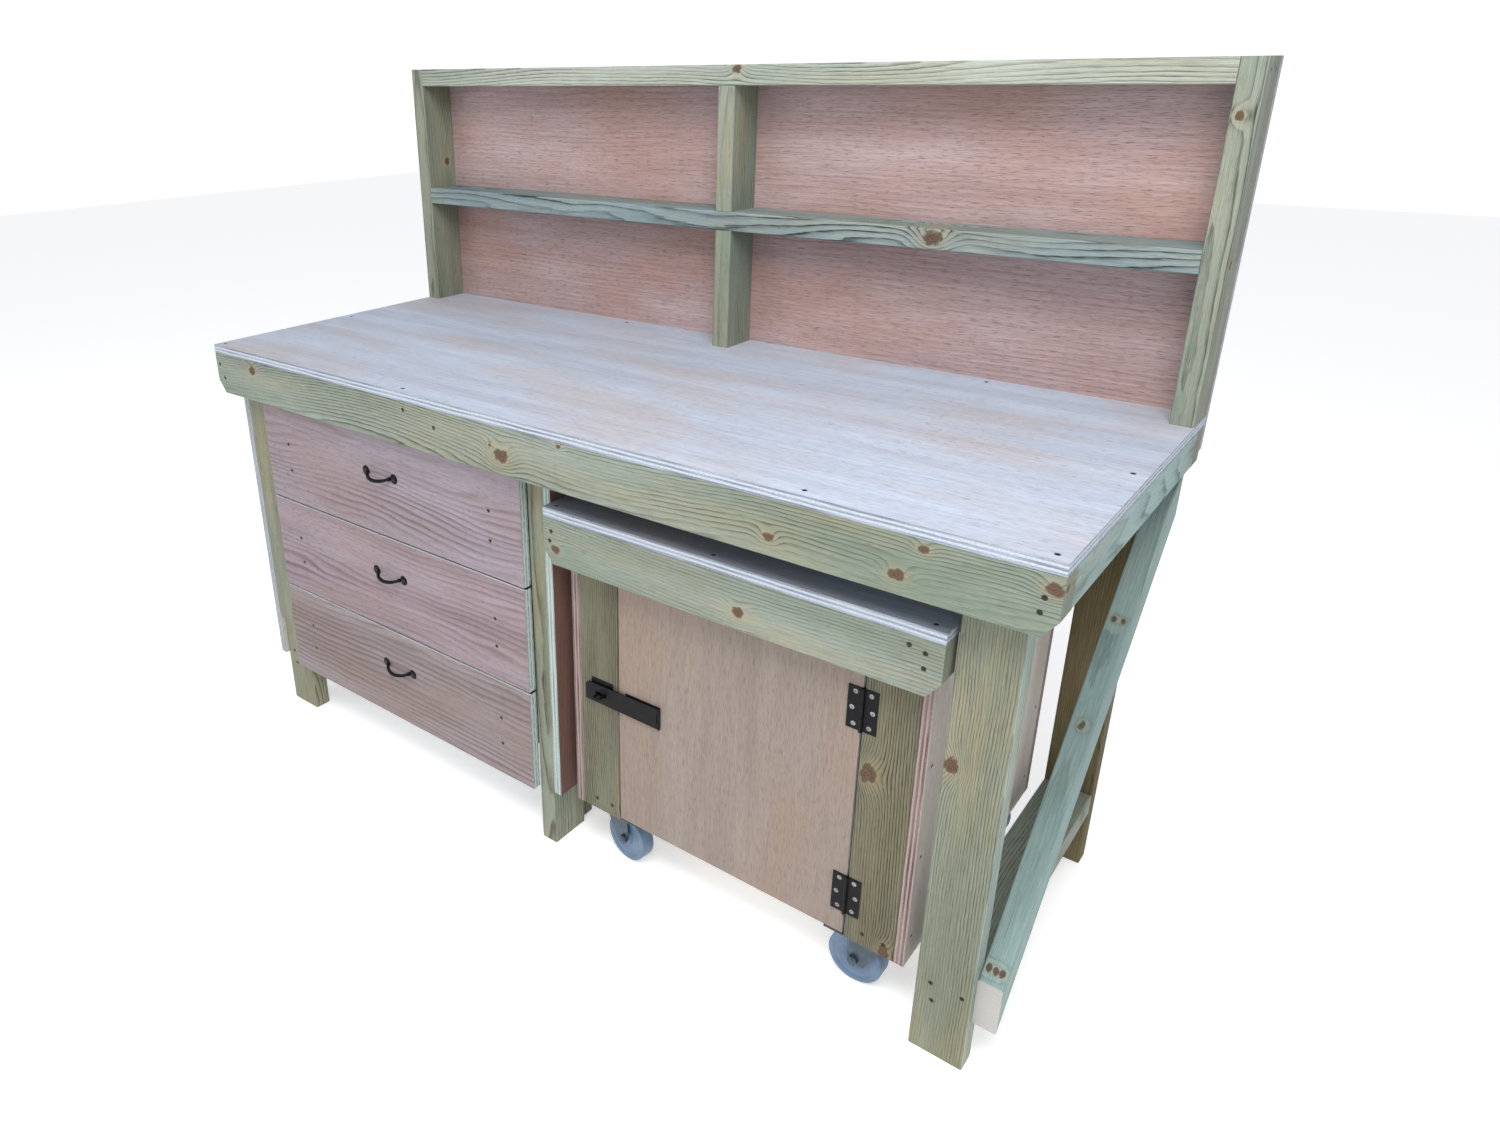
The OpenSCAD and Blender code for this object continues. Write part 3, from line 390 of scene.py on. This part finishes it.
def plywood(node, along, thin, look, figure=0.5, pitch=9.0, streak=1.0, seed=0.0,
            edge=(srgb(176, 182, 190), srgb(112, 112, 118)), warp=0.05, layer=2.57, lip=None):
    """A plywood material: veneer on the faces, layers on the edges.

    along is the face grain's axis and thin the axis through the board. pitch is
    one line of the figure, and layer one ply, in millimetres.
    look holds the veneer's ground, its darker figure and a patchy tint.
    Up-facing edges are painted paler as highlight, and behind its first lip metres an upper edge is
    painted dark as shade in the gap above it."""
    material, t, shader = new_material("ply_" + node)
    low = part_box(node)[0]
    place, shifted = board_place(t, low, along, (seed * 2.9, seed * 1.3, 0))
    coordinates = t.add("TexCoord")
    raw = t.split(t.vector("SUBTRACT", coordinates.outputs["Object"], tuple(low)))
    thin_index = "xyz".index(thin)
    on_face = t.range(t.math("ABSOLUTE", t.split(coordinates.outputs["Normal"])[thin_index]), 0.6, 0.8)
    across = t.split(shifted)
    flat = t.join(across[0], t.math("ADD", across[1], across[2]), 0.0)
    bend = t.noise(flat, stretch=(1.5, 5.5, 1), detail=3, roughness=0.45)
    ripple = t.noise(flat, stretch=(9, 60, 1), detail=3)
    bent = t.math("ADD", t.split(flat)[1], t.math("MULTIPLY", bend, warp * 2))
    bent = t.math("ADD", bent, t.math("MULTIPLY", ripple, 0.004))
    phase = t.math("FRACT", t.math("DIVIDE", bent, pitch * MM))
    line = t.ramp(phase, FIGURE_PROFILE)
    presence = t.range(t.noise(flat, stretch=(1.8, 9, 1), detail=3), 0.36, 0.64)
    line = t.math("MULTIPLY", line, presence)
    band = t.noise(flat, stretch=(1.2, 16, 1), detail=5, roughness=0.6, distortion=0.4)
    fine = t.noise(flat, stretch=(9, 260, 1), detail=4, roughness=0.7)
    pore = t.range(t.noise(flat, stretch=(46, 900, 1), detail=2), 0.58, 0.70)
    cloud = t.noise(flat, stretch=(2.4, 5, 1), detail=3)
    colour = t.mix(t.range(band, 0.34, 0.68, 0.0, 0.8), look[0], look[1])
    colour = t.mix(t.math("MULTIPLY", t.range(cloud, 0.45, 0.64), 0.5), colour, look[2])
    shade = t.mix(1.0, look[1], (0.62, 0.56, 0.56, 1), "MULTIPLY")
    colour = t.mix(t.math("MULTIPLY", line, figure), colour, shade)
    tone = t.range(fine, 0.3, 0.7, 1.0 - 0.14 * streak, 1.0 + 0.12 * streak)
    colour = t.shade(colour, tone)
    dark = t.mix(1.0, shade, (0.7, 0.66, 0.66, 1), "MULTIPLY")
    colour = t.mix(t.math("MULTIPLY", pore, 0.5 * streak), colour, dark)
    wobble = t.math("SUBTRACT", t.noise(place, scale=24, detail=3), 0.5)
    count = t.math("ADD", t.math("DIVIDE", raw[thin_index], layer * MM), t.math("MULTIPLY", wobble, 0.5))
    ply = t.range(t.math("PINGPONG", t.math("ADD", count, 0.5), 1.0), 0.40, 0.60)
    dashes = t.range(t.noise(place, stretch=(9, 160, 160), detail=3), 0.40, 0.62, 0.45, 1.0)
    side = t.mix(t.math("MULTIPLY", ply, dashes), edge[0], edge[1])
    side_tone = t.range(t.noise(place, stretch=(220, 700, 700), detail=3), 0.3, 0.7, 0.80, 1.12)
    side = t.shade(side, side_tone)
    # Painted highlight: edges that face up are painted pale, as if lit from above.
    upward = t.range(t.split(coordinates.outputs["Normal"])[2], 0.6, 0.8)
    side = t.mix(t.math("MULTIPLY", upward, 0.75), side, srgb(236, 240, 244))
    if lip:
        # Painted shade: behind the lip an up-facing edge is painted near black, as the gap above it lies
        # in shadow.
        gap_shade = t.math("MULTIPLY", upward, t.range(raw[1], lip, lip + 0.0008))
        side = t.mix(gap_shade, side, srgb(34, 34, 36))
    t.wire(shader.inputs["Base Color"], t.mix(on_face, side, colour))
    t.wire(shader.inputs["Roughness"], t.range(fine, 0.2, 0.8, 0.60, 0.82))
    height = t.math("SUBTRACT", fine, t.math("MULTIPLY", pore, 0.8))
    side_height = t.math("MULTIPLY", ply, -1.5)
    relief = t.math("ADD", t.math("MULTIPLY", height, on_face),
                    t.math("MULTIPLY", side_height, t.math("SUBTRACT", 1.0, on_face)))
    t.wire(shader.inputs["Normal"], t.bump(relief, 0.0004))
    shader.inputs["Specular IOR Level"].default_value = 0.3
    coat(node, material)


# ------------------------------------------------------- boards and panels

timber("front_rail", "x", RAIL, pith=(0.05, -0.012), spacing=5.2, seed=1, contrast=0.75,
       knots=[(0.136, 0.069, 1, 0.010), (0.881, 0.039, 1, 0.013), (1.419, 0.031, 1, 0.007),
              (1.618, 0.030, 1, 0.009), (1.651, 0.077, 1, 0.006), (1.819, 0.070, 1, 0.009),
              (0.855, 0.052, 1, 0.003), (1.017, 0.083, 1, 0.004)])
timber("back_rail", "x", RAIL, pith=(0.02, 0.05), seed=2, knots=[(0.5, 0.04, 1, 0.012)])
timber("cross_rails", "y", TEAL, pith=(0.02, -0.02), seed=3)
timber("leg_front_left", "z", LEG, pith=(0.20, -0.02), spacing=4.4, seed=4, warmth=0.5,
       knots=[(0.34, 0.07, 2, 0.011)])
timber("leg_front_middle", "z", LEG, pith=(0.019, 0.05), spacing=7, seed=5, warmth=0.6)
# The right front leg's +X side gets painted light through flank.
timber("leg_front_right", "z", LEG, pith=(0.17, -0.05), spacing=4.2, seed=6, warmth=0.5,
       contrast=0.7, flank=(1.35, 1.55, 1.85, 1), knots=[(0.543, 0.012, 2, 0.011)])
timber("leg_rear_left", "z", LEG, pith=(0.04, 0.05), seed=7)
timber("leg_rear_middle", "z", OLIVE, pith=(0.06, 0.04), seed=8)
timber("leg_rear_right", "z", BROWN, pith=(0.09, -0.02), spacing=4.0, seed=9)
timber("runner_posts", "z", OLIVE, pith=(0.2, 0.3), seed=10)
timber("lower_rails", "y", RAIL, pith=(0.9, 0.05), spacing=6, contrast=0.7, seed=11)
brace_low, brace_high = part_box("side_brace")
brace_cut = 91 * MM
brace_slope = atan2(brace_high[2] - brace_low[2] - brace_cut, brace_high[1] - brace_low[1])
timber("side_brace", brace_slope, TEAL, pith=(0.02, 0.16), spacing=6, contrast=0.5, seed=12, warmth=0.1,
       butt=srgb(192, 184, 182),
       knots=[(0.088, 0.009, 2, 0.005), (0.088, 0.019, 2, 0.005), (0.088, 0.029, 2, 0.005),
              (0.488, 0.019, 2, 0.006), (0.673, 0.012, 2, 0.005), (0.673, 0.026, 2, 0.004)])
timber("upright_left", "z", LEG, pith=(0.02, -0.05), seed=13, knots=[(0.34, 0.062, 1, 0.008)])
timber("upright_middle", "z", RAIL, pith=(0.03, -0.06), spacing=7, seed=14, contrast=0.4, warmth=0.5)
timber("upright_right", "z", RAIL, pith=(0.018, -0.035), spacing=5.5, seed=15, contrast=1.2,
       knots=[(0.475, 0.014, 2, 0.006), (0.256, 0.020, 1, 0.005)])
timber("shelf_rail", "x", SHELF, pith=(0.06, -0.01), spacing=5.5, seed=16, contrast=1.2,
       knots=[(1.322, 0.021, 1, 0.014)])
timber("top_rail", "x", LIGHT, pith=(-0.03, 0.06), spacing=6, seed=17, contrast=0.9,
       knots=[(0.901, 0.030, 1, 0.008)])
timber("trolley_front_rail", "x", RAIL, pith=(0.04, -0.04), spacing=5.5, seed=18, contrast=0.5,
       knots=[(0.027, 0.032, 1, 0.008), (0.406, 0.033, 1, 0.009)])
timber("trolley_posts", "z", OLIVE, pith=(0.30, -0.02), spacing=4.8, seed=19, warmth=0.2, contrast=1.0,
       knots=[(0.336, 0.582, 2, 0.013), (0.010, 0.636, 2, 0.010)])

BACK = (srgb(176, 156, 156), srgb(155, 131, 129), srgb(163, 125, 109))
MAUVE = (
    (srgb(148, 138, 141), srgb(125, 112, 112), srgb(134, 116, 105)),
    (srgb(155, 142, 149), srgb(132, 117, 122), srgb(142, 120, 113)),
    (srgb(156, 146, 156), srgb(133, 121, 128), srgb(142, 122, 115)),
)
DOOR = (srgb(146, 135, 127), srgb(131, 119, 111), srgb(146, 123, 108))
# SIDE is pale ply, partly its own colour and partly painted light: made lighter so the trolley's side
# panel in the leg's shade comes out bright.
SIDE = (srgb(196, 192, 186), srgb(178, 170, 162), srgb(186, 166, 152))
BLEACHED = (srgb(186, 197, 215), srgb(164, 168, 182), srgb(180, 168, 164))
# SHADED is a darker copy of BLEACHED, painted shade for the trolley top under the worktop.
SHADED = (srgb(143, 154, 172), srgb(125, 130, 143), srgb(136, 130, 128))
# REDDISH is partly the ply's own reddish colour and partly painted shade: darkened for the partition in
# shadow between the leg and the trolley.
REDDISH = (srgb(118, 90, 82), srgb(92, 66, 60), srgb(110, 82, 68))
PALE_EDGE = (srgb(184, 193, 206), srgb(122, 128, 140))
MAROON_EDGE = (srgb(158, 142, 138), srgb(92, 70, 66))
DRAWER_EDGE = (srgb(176, 190, 188), srgb(128, 138, 136))

plywood("worktop", "x", "z", BLEACHED, figure=0.12, pitch=14, seed=1, streak=0.9, edge=PALE_EDGE,
        layer=3.6)
plywood("trolley_top", "x", "z", SHADED, figure=0.12, pitch=14, seed=2, streak=0.9, edge=PALE_EDGE,
        layer=3.6)
plywood("back_panel", "x", "y", BACK, figure=0.45, pitch=11, seed=3, streak=1.4, warp=0.03)
plywood("side_panel", "z", "x", SIDE, seed=4, figure=0.2)
plywood("partition_panel", "z", "x", REDDISH, seed=5, figure=0.4, edge=DRAWER_EDGE, layer=3.6)
plywood("trolley_side_panels", "z", "x", SIDE, seed=6, figure=0.15, edge=MAROON_EDGE, layer=3.6)
plywood("trolley_back_panel", "z", "y", SIDE, seed=7, figure=0.3, edge=MAROON_EDGE)
plywood("trolley_floor", "x", "z", SIDE, seed=8, figure=0.3, edge=MAROON_EDGE)
plywood("trolley_door", "z", "y", DOOR, figure=0.16, pitch=16, seed=9, streak=0.9, warp=0.08)
for level, name in enumerate(("bottom", "middle", "top")):
    plywood(f"drawer_{name}_front", "x", "y", MAUVE[level], figure=1.0, pitch=15, seed=10 + level * 1.7,
            warp=0.07, edge=DRAWER_EDGE, layer=3.6, lip=0.0035)
    plywood(f"drawer_{name}_box", "y", "x", SIDE, seed=20 + level, figure=0.3)


# -------------------------------------------------------------- ironmongery


IRON = srgb(9, 9, 12)


def metal(name, colour, metallic, low_rough, high_rough, specular=0.5, spots=()):
    """A mottled metal; spots are the places of bright screw heads in its face."""
    material, t, shader = new_material(name)
    place = t.add("TexCoord").outputs["Object"]
    speckle = t.noise(place, scale=900, detail=3)
    cloud = t.noise(place, scale=75, detail=3)
    worn = tuple(min(1.0, c * 1.7) for c in colour[:3]) + (1.0,)
    finish = t.mix(t.range(cloud, 0.4, 0.75), colour, worn)
    if spots:
        heads = 0.0
        for spot in spots:
            offset = t.vector("MULTIPLY", t.vector("SUBTRACT", place, spot), (1, 0, 1))
            heads = t.math("MAXIMUM", t.range(t.vector("LENGTH", offset), 0.0042, 0.0040), heads)
        silver = t.mix(t.range(cloud, 0.3, 0.7), srgb(176, 178, 180), srgb(136, 138, 142))
        finish = t.mix(heads, finish, silver)
        t.wire(shader.inputs["Metallic"], t.math("MULTIPLY", heads, 0.9))
    t.wire(shader.inputs["Base Color"], finish)
    t.wire(shader.inputs["Roughness"], t.range(cloud, 0.3, 0.7, low_rough, high_rough))
    t.wire(shader.inputs["Normal"], t.bump(speckle, 0.00015))
    if not spots:
        shader.inputs["Metallic"].default_value = metallic
    shader.inputs["Specular IOR Level"].default_value = specular
    return material


black_iron = metal("black_iron", IRON, 0.0, 0.40, 0.60, specular=0.18)
dull_screw = metal("dull_screw", srgb(56, 50, 44), 0.5, 0.45, 0.65)
castor_steel = metal("castor_steel", srgb(66, 78, 88), 0.55, 0.28, 0.45)
runner_zinc = metal("runner_zinc", srgb(176, 180, 184), 1.0, 0.30, 0.45)


def nylon_material():
    material, t, shader = new_material("nylon")
    place = t.add("TexCoord").outputs["Object"]
    cloud = t.noise(place, scale=28, detail=4)
    scuff = t.range(t.noise(place, scale=260, detail=4, roughness=0.7), 0.56, 0.72)
    colour = t.mix(t.range(cloud, 0.35, 0.65), srgb(97, 121, 147), srgb(79, 102, 129))
    t.wire(shader.inputs["Base Color"], t.mix(t.math("MULTIPLY", scuff, 0.4), colour, srgb(66, 78, 92)))
    t.wire(shader.inputs["Roughness"], t.range(cloud, 0.3, 0.7, 0.32, 0.5))
    t.wire(shader.inputs["Normal"], t.bump(scuff, 0.0002))
    shader.inputs["Subsurface Weight"].default_value = 0.08
    shader.inputs["Subsurface Radius"].default_value = (0.004, 0.005, 0.006)
    return material


nylon = nylon_material()

for name in ("bottom", "middle", "top"):
    coat(f"drawer_{name}_runners", runner_zinc)
    coat(f"drawer_{name}_screws", dull_screw)
    coat(f"drawer_{name}_handle", black_iron)
coat("drawer_channels", runner_zinc)
coat("bench_screws", dull_screw)
coat("trolley_screws", dull_screw)
for node in ("hasp_staple", "hasp_base", "hasp_strap"):
    coat(node, black_iron)


# The hinges, in millimetres: height of a leaf, radius of the barrel, how far the
# pins in the trolley's leaves stand out at both ends, and the screws from the pin
LEAF_HEIGHT = 75
BARREL_RADIUS = 3
PIN_HEAD = 1.3
LEAF_SCREWS = ((13, 66), (17, 37), (13, 9))


def hinge_screw_places(node, side):
    """The three screws in each of a node's two leaves; side is the leaves' way in X."""
    low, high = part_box(node)
    pin_x = high[0] - BARREL_RADIUS * MM if side < 0 else low[0] + BARREL_RADIUS * MM
    beyond = 0 if side < 0 else PIN_HEAD * MM
    lower = low[2] + beyond
    upper = high[2] - LEAF_HEIGHT * MM - beyond
    return [(pin_x + side * u * MM, 0, base + v * MM)
            for base in (lower, upper) for u, v in LEAF_SCREWS]


for name, node, side in (
    ("post_hinges", "trolley_hinge_leaves", 1),
    ("door_hinges", "door_hinge_leaves", -1),
):
    spots = hinge_screw_places(node, side)
    coat(node, metal(name, IRON, 0.0, 0.40, 0.60, specular=0.18, spots=spots))
coat("castor_plates", castor_steel)
for corner in ("front_left", "front_right", "rear_left", "rear_right"):
    coat(f"castor_{corner}_fork", castor_steel)
    coat(f"castor_{corner}_wheel", nylon)


# ----------------------------------------------------------------- handles


def add_rings(mesh, rings, closed=False):
    """Joins a run of equal rings of points with faces; open ends stay open."""
    loops = [[mesh.verts.new(point) for point in ring] for ring in rings]
    pairs = list(zip(loops, loops[1:]))
    if closed:
        pairs.append((loops[-1], loops[0]))
    for one, two in pairs:
        for i in range(len(one)):
            j = (i + 1) % len(one)
            mesh.faces.new((one[i], one[j], two[j], two[i]))
    return loops


def add_plate(mesh, centre, profile, sides=40):
    """A turned plate about -Y from (radius, height) pairs in millimetres."""
    rings = []
    for radius, height in profile:
        rings.append([
            centre + Vector((cos(tau * i / sides) * radius, -height, sin(tau * i / sides) * radius)) * MM
            for i in range(sides)
        ])
    add_rings(mesh, rings, closed=True)


def add_bow(mesh, path, radii, sides=20):
    """A round bar along a path, its ends closed."""
    rings = []
    for i, point in enumerate(path):
        ahead = (path[min(i + 1, len(path) - 1)] - path[max(i - 1, 0)]).normalized()
        side = ahead.cross(Vector((0, 0, 1))).normalized()
        over = side.cross(ahead)
        rings.append([
            point + (side * cos(tau * k / sides) + over * sin(tau * k / sides)) * radii[i]
            for k in range(sides)
        ])
    loops = add_rings(mesh, rings)
    mesh.faces.new(loops[0])
    mesh.faces.new(loops[-1])


# The handles' end plates, in millimetres: size, distance from the middle, and
# radius and height along the turned profile
PLATE_RADIUS = 11
PLATE_REACH = 43
PLATE_PROFILE = (
    (4.2, 0.1), (4.2, 3.1), (4.8, 3.45), (6.6, 3.4),
    (8.6, 2.9), (10.1, 1.9), (10.8, 1.0), (10.95, 0.1),
)


def swelling(edge, at, width):
    """1 at a place along half the bow, falling to 0 a width away from it."""
    return max(0.0, 1 - ((edge - at) / width) ** 2)


def iron_handle(name):
    """A cast bow handle: domed end plates, ball necks and a swelling bow."""
    low, high = (Vector(corner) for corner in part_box(f"drawer_{name}_handle"))
    middle = Vector(((low.x + high.x) / 2, high.y, high.z - PLATE_RADIUS * MM))
    mesh = bmesh.new()
    for side in (-1, 1):
        add_plate(mesh, middle + Vector((side * PLATE_REACH * MM, 0, 0)), PLATE_PROFILE)
    half, reach, droop = 35.0, 18.7, radians(20)
    bow_r = (half * half + reach * reach) / (2 * reach)
    widest = atan2(half, bow_r - reach)
    path, radii = [], []
    steps = 48
    for i in range(steps + 1):
        share = i / steps * 2 - 1
        angle = share * widest
        out = bow_r * cos(angle) - (bow_r - reach)
        across = bow_r * sin(angle)
        path.append(middle + Vector((across, -3.2 - out * cos(droop), -out * sin(droop))) * MM)
        edge = abs(share)
        ball = swelling(edge, 0.93, 0.07)
        collar = swelling(edge, 0.78, 0.03)
        radii.append((2.7 + 1.15 * (1 - edge ** 2) + 1.7 * sqrt(ball) + 0.5 * collar) * MM)
    add_bow(mesh, path, radii)
    bmesh.ops.recalc_face_normals(mesh, faces=mesh.faces)
    data = bpy.data.meshes.new(f"handle_{name}")
    mesh.to_mesh(data)
    mesh.free()
    data.shade_smooth()
    data.materials.append(black_iron)
    piece = bpy.data.objects.new(f"handle_{name}", data)
    scene.collection.objects.link(piece)
    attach(piece, f"drawer_{name}")
    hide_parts(f"drawer_{name}_handle")


for name in ("bottom", "middle", "top"):
    iron_handle(name)


# ------------------------------------------------------ floor and lighting


def make_stage():
    mesh = bpy.data.meshes.new("floor")
    reach = 12.0
    corners = [(-reach, -reach, 0), (reach, -reach, 0), (reach, reach, 0), (-reach, reach, 0)]
    mesh.from_pydata(corners, [], [(0, 1, 2, 3)])
    floor = bpy.data.objects.new("floor", mesh)
    scene.collection.objects.link(floor)
    floor.location.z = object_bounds()[0][2] - 0.0005
    material, t, shader = new_material("floor")
    shader.inputs["Base Color"].default_value = (0.94, 0.94, 0.94, 1)
    shader.inputs["Roughness"].default_value = 0.9
    shader.inputs["Emission Color"].default_value = (1, 1, 1, 1)
    shader.inputs["Emission Strength"].default_value = 0.40
    mesh.materials.append(material)


def area_light(name, place, target, size, power, colour=(1, 1, 1)):
    data = bpy.data.lights.new(name, "AREA")
    data.shape = "DISK"
    data.size = size
    data.energy = power
    data.color = colour
    light = bpy.data.objects.new(name, data)
    scene.collection.objects.link(light)
    light.location = place
    light.rotation_euler = (Vector(target) - Vector(place)).to_track_quat("-Z", "Y").to_euler()


def make_lights():
    world = bpy.data.worlds.new("studio")
    scene.world = world
    world.use_nodes = True
    background = world.node_tree.nodes["Background"]
    background.inputs["Color"].default_value = (0.94, 0.96, 1.0, 1)
    t = Tree(world.node_tree)
    way = t.split(t.add("TexCoord").outputs["Generated"])
    low = t.range(t.math("ABSOLUTE", way[2]), 0.45, 0.05)
    behind = t.range(way[1], -0.05, 0.30)
    glow = t.math("MULTIPLY", t.math("MULTIPLY", low, behind), 0.60)
    t.wire(background.inputs["Strength"], t.math("ADD", glow, 0.55))
    area_light("key", (1.0, -1.5, 3.1), (0.1, -0.1, 0.6), 1.8, 80, (1.0, 0.99, 0.97))
    area_light("fill", (2.6, -3.4, 1.6), (0, 0, 0.6), 2.5, 25, (1.0, 0.98, 0.95))
    area_light("left", (-2.7, -2.8, 1.7), (-0.6, 0, 0.7), 2.2, 18)


make_stage()
make_lights()
